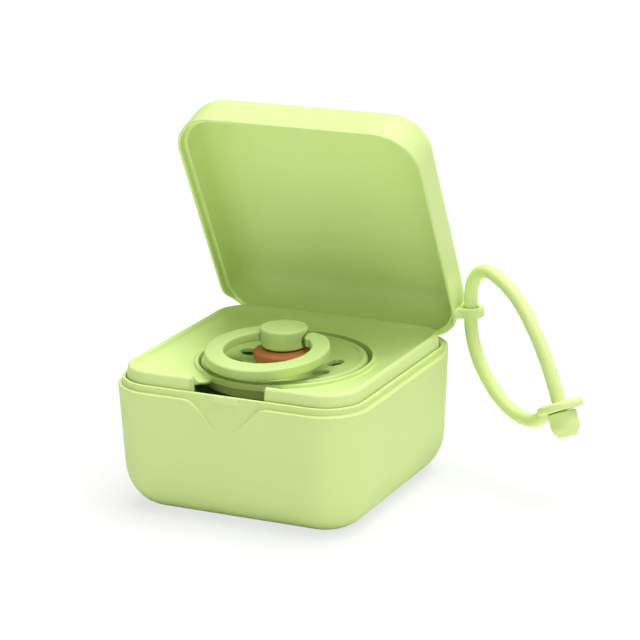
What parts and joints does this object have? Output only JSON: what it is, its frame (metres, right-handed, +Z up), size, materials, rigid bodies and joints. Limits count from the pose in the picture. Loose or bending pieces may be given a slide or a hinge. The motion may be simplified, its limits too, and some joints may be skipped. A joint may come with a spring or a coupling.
{
  "type": "pacifier case",
  "caption": "Square rounded travel case with a deep hinged lid, a dished tray holding a round pacifier, and a button strap through an ear on the lid.",
  "frame": {"origin": "middle of the flat underside of the base", "axes": "+Z up, -Y towards the thumb scoop at the front, +Y towards the hinge, +X towards the side that carries the strap's ear"},
  "size_m": [0.1233, 0.0894, 0.1094],
  "materials": {
    "shell": "fine matte moulded polypropylene",
    "tray": "fine matte moulded polypropylene",
    "strap": "matte moulded silicone",
    "pacifier": "satin moulded polypropylene",
    "nipple": "brown natural rubber, softly glossy",
    "pin": "plain drawn steel"
  },
  "bodies": {
    "base": {"base_shell": "shell", "tray_insert": "tray", "hinge_pin": "pin"},
    "lid": {"lid_shell": "shell"},
    "strap": {"strap_loop": "strap", "strap_eyelet": "strap", "strap_button": "strap"},
    "pacifier": {"pacifier_shield": "pacifier", "pacifier_nipple": "nipple", "nipple_plug": "pacifier", "pacifier_knob": "pacifier"},
    "ring": {"pacifier_ring": "pacifier"}
  },
  "joints": [
    {"name": "lid_hinge", "type": "hinge", "parent": "base", "child": "lid", "pos_m": [0, 0.0383, 0.036], "axis": [-1, 0, 0], "range_deg": [-64, 46]},
    {"name": "strap_swing", "type": "hinge", "parent": "lid", "child": "strap", "pos_m": [0.0419, 0.039, 0.0468], "axis": [0, 0, 1], "range_deg": [-45, 100]},
    {"name": "pacifier_lift", "type": "slide", "parent": "base", "child": "pacifier", "axis": [0, 0, 1], "range_m": [0, 0.0455]},
    {"name": "ring_swing", "type": "hinge", "parent": "pacifier", "child": "ring", "pos_m": [0, 0.00289, 0.04465], "axis": [-1, 0, 0], "range_deg": [0, 180]}
  ]
}
